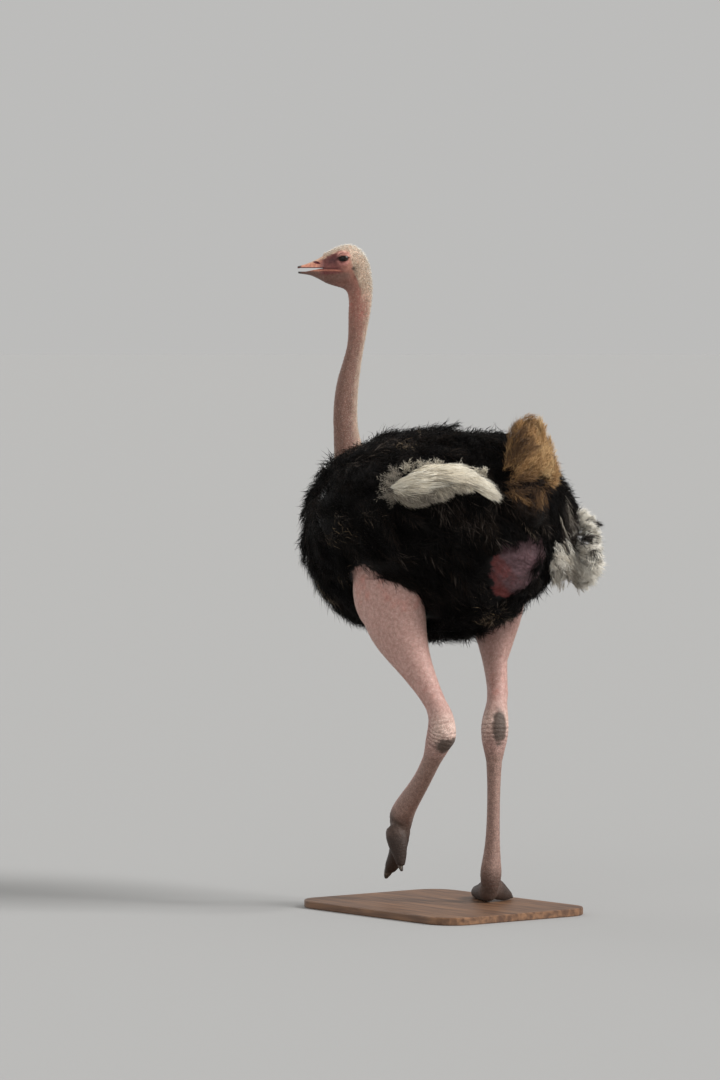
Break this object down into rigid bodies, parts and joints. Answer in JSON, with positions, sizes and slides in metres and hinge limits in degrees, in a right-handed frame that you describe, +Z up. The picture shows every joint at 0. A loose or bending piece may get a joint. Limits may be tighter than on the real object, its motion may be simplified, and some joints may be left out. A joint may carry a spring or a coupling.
{
  "type": "ostrich",
  "caption": "Life-size male ostrich walking with its left foot lifted and its head turned to the left, standing on a flat display base.",
  "frame": {"origin": "centre of the display base's underside, below the middle of the trunk", "axes": "+Z up, -Y the way the bird walks, +X its left side"},
  "size_m": [0.7815, 1.1354, 2.1377],
  "materials": {
    "plumage_black": "loose, shaggy, matt black plumage",
    "plumage_white": "loose cream-white plumes",
    "plumage_brown": "woolly, soiled tan-brown plumes",
    "skin_neck": "thin pinkish-brown skin with pale stubble down",
    "skin_face": "bare reddish skin, pale down on crown and nape",
    "skin_leg": "bare pink skin with fine pale mottling",
    "skin_foot": "grey-brown scaly skin with pads",
    "horn_bill": "orange-pink horn with dark tips",
    "horn_claw": "dark grey horn",
    "eye": "dark brown, wet and shiny",
    "stand": "plain pale matt paint"
  },
  "bodies": {
    "root": {"trunk": "plumage_black", "wing_left": "plumage_black", "wing_right": "plumage_black", "plumes_left": "plumage_white", "plumes_right": "plumage_white", "tail": "plumage_brown", "neck_upper": "skin_neck", "neck_lower": "skin_neck", "head": "skin_face", "thigh_left": "skin_leg", "thigh_right": "skin_leg", "ankle_left": "skin_leg", "ankle_right": "skin_leg", "tarsus_left": "skin_leg", "tarsus_right": "skin_leg", "toe_main_left": "skin_foot", "toe_main_right": "skin_foot", "toe_outer_left": "skin_foot", "toe_outer_right": "skin_foot", "bill_upper": "horn_bill", "bill_lower": "horn_bill", "claw_main_left": "horn_claw", "claw_main_right": "horn_claw", "claw_outer_left": "horn_claw", "claw_outer_right": "horn_claw", "eye_left": "eye", "eye_right": "eye", "stand_base": "stand"}
  },
  "joints": []
}
